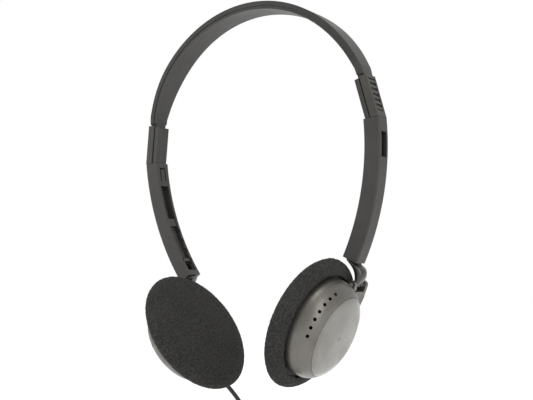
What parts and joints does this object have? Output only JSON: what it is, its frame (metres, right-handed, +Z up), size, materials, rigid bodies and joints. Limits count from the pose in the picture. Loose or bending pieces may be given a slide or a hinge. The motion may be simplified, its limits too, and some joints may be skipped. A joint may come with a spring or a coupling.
{
  "type": "on-ear headphones",
  "caption": "Lightweight corded on-ear headphones: slim headband, sliding curved arms, swivelling and tilting cups with foam pads, jack plug.",
  "frame": {"origin": "middle of the headband crown's underside, where it rests on the head", "axes": "+X from the left ear to the right ear, +Y to the back of the head, +Z up"},
  "size_m": [0.127, 0.0596, 0.2664],
  "materials": {
    "band_plastic": "satin",
    "liner_plastic": "satin",
    "grip_plastic": "satin",
    "arm_plastic": "satin",
    "neck_plastic": "gloss",
    "cup_lacquer": "satin metallic lacquer",
    "badge_lacquer": "gloss metallic lacquer",
    "foam": "open-cell foam",
    "baffle_plastic": "matt",
    "spring_steel": "blackened",
    "steel": "brushed",
    "film": "gloss",
    "copper": "enamelled",
    "magnet": "matt",
    "felt": "felted",
    "board": "matt",
    "wire_jacket": "matt",
    "cord_jacket": "satin",
    "tie": "satin",
    "jack_metal": "polished",
    "insulator": "gloss"
  },
  "bodies": {
    "headband": {"headband_strip": "band_plastic", "headband_liner": "liner_plastic", "cross_wire": "wire_jacket", "grip_rivets": "spring_steel", "left_grip_cover": "grip_plastic", "left_grip_plate": "liner_plastic", "left_slide_rail": "spring_steel", "left_rail_stop": "arm_plastic", "right_grip_cover": "grip_plastic", "right_grip_plate": "liner_plastic", "right_slide_rail": "spring_steel", "right_rail_stop": "arm_plastic"},
    "right_arm": {"right_arm": "arm_plastic", "right_arm_lead": "wire_jacket"},
    "right_neck": {"right_neck": "neck_plastic", "right_swivel_clip": "steel"},
    "right_cup": {"right_tilt_pin": "steel", "right_cup_shell": "cup_lacquer", "right_cup_badge": "badge_lacquer", "right_baffle": "baffle_plastic", "right_baffle_screws": "steel", "right_diaphragm": "film", "right_driver_frame": "baffle_plastic", "right_voice_coil": "copper", "right_yoke": "steel", "right_magnet": "magnet", "right_damping_felt": "felt", "right_terminal_board": "board", "right_ear_pad": "foam"},
    "left_arm": {"left_arm": "arm_plastic", "left_arm_lead": "wire_jacket"},
    "left_neck": {"left_neck": "neck_plastic", "left_swivel_clip": "steel"},
    "left_cup": {"left_tilt_pin": "steel", "left_cup_shell": "cup_lacquer", "left_cup_badge": "badge_lacquer", "left_baffle": "baffle_plastic", "left_baffle_screws": "steel", "left_diaphragm": "film", "left_driver_frame": "baffle_plastic", "left_voice_coil": "copper", "left_yoke": "steel", "left_magnet": "magnet", "left_damping_felt": "felt", "left_terminal_board": "board", "left_ear_pad": "foam", "cord_relief": "cord_jacket", "cord_lead": "cord_jacket", "cord_tail": "cord_jacket", "cord_coil": "cord_jacket", "coil_tie": "tie", "plug_body": "cord_jacket", "plug_sleeve": "jack_metal", "plug_insulators": "insulator", "plug_ring": "jack_metal", "plug_tip": "jack_metal"}
  },
  "joints": [
    {"name": "right_arm_slide", "type": "hinge", "parent": "headband", "child": "right_arm", "pos_m": [-0.0525, 0, -0.0589], "axis": [0, 1, 0], "range_deg": [0, 8.5]},
    {"name": "right_cup_swivel", "type": "hinge", "parent": "right_arm", "child": "right_neck", "pos_m": [0.04442, 0, -0.11622], "axis": [0.509, 0, 0.8607], "range_deg": [-12, 12]},
    {"name": "right_cup_tilt", "type": "hinge", "parent": "right_neck", "child": "right_cup", "pos_m": [0.04504, 0, -0.12659], "axis": [0, -1, 0], "range_deg": [-4, 14]},
    {"name": "left_arm_slide", "type": "hinge", "parent": "headband", "child": "left_arm", "pos_m": [0.0525, 0, -0.0589], "axis": [0, -1, 0], "range_deg": [0, 8.5]},
    {"name": "left_cup_swivel", "type": "hinge", "parent": "left_arm", "child": "left_neck", "pos_m": [-0.04442, 0, -0.11622], "axis": [0.509, 0, -0.8607], "range_deg": [-12, 12]},
    {"name": "left_cup_tilt", "type": "hinge", "parent": "left_neck", "child": "left_cup", "pos_m": [-0.04504, 0, -0.12659], "axis": [0, 1, 0], "range_deg": [-4, 14]}
  ]
}
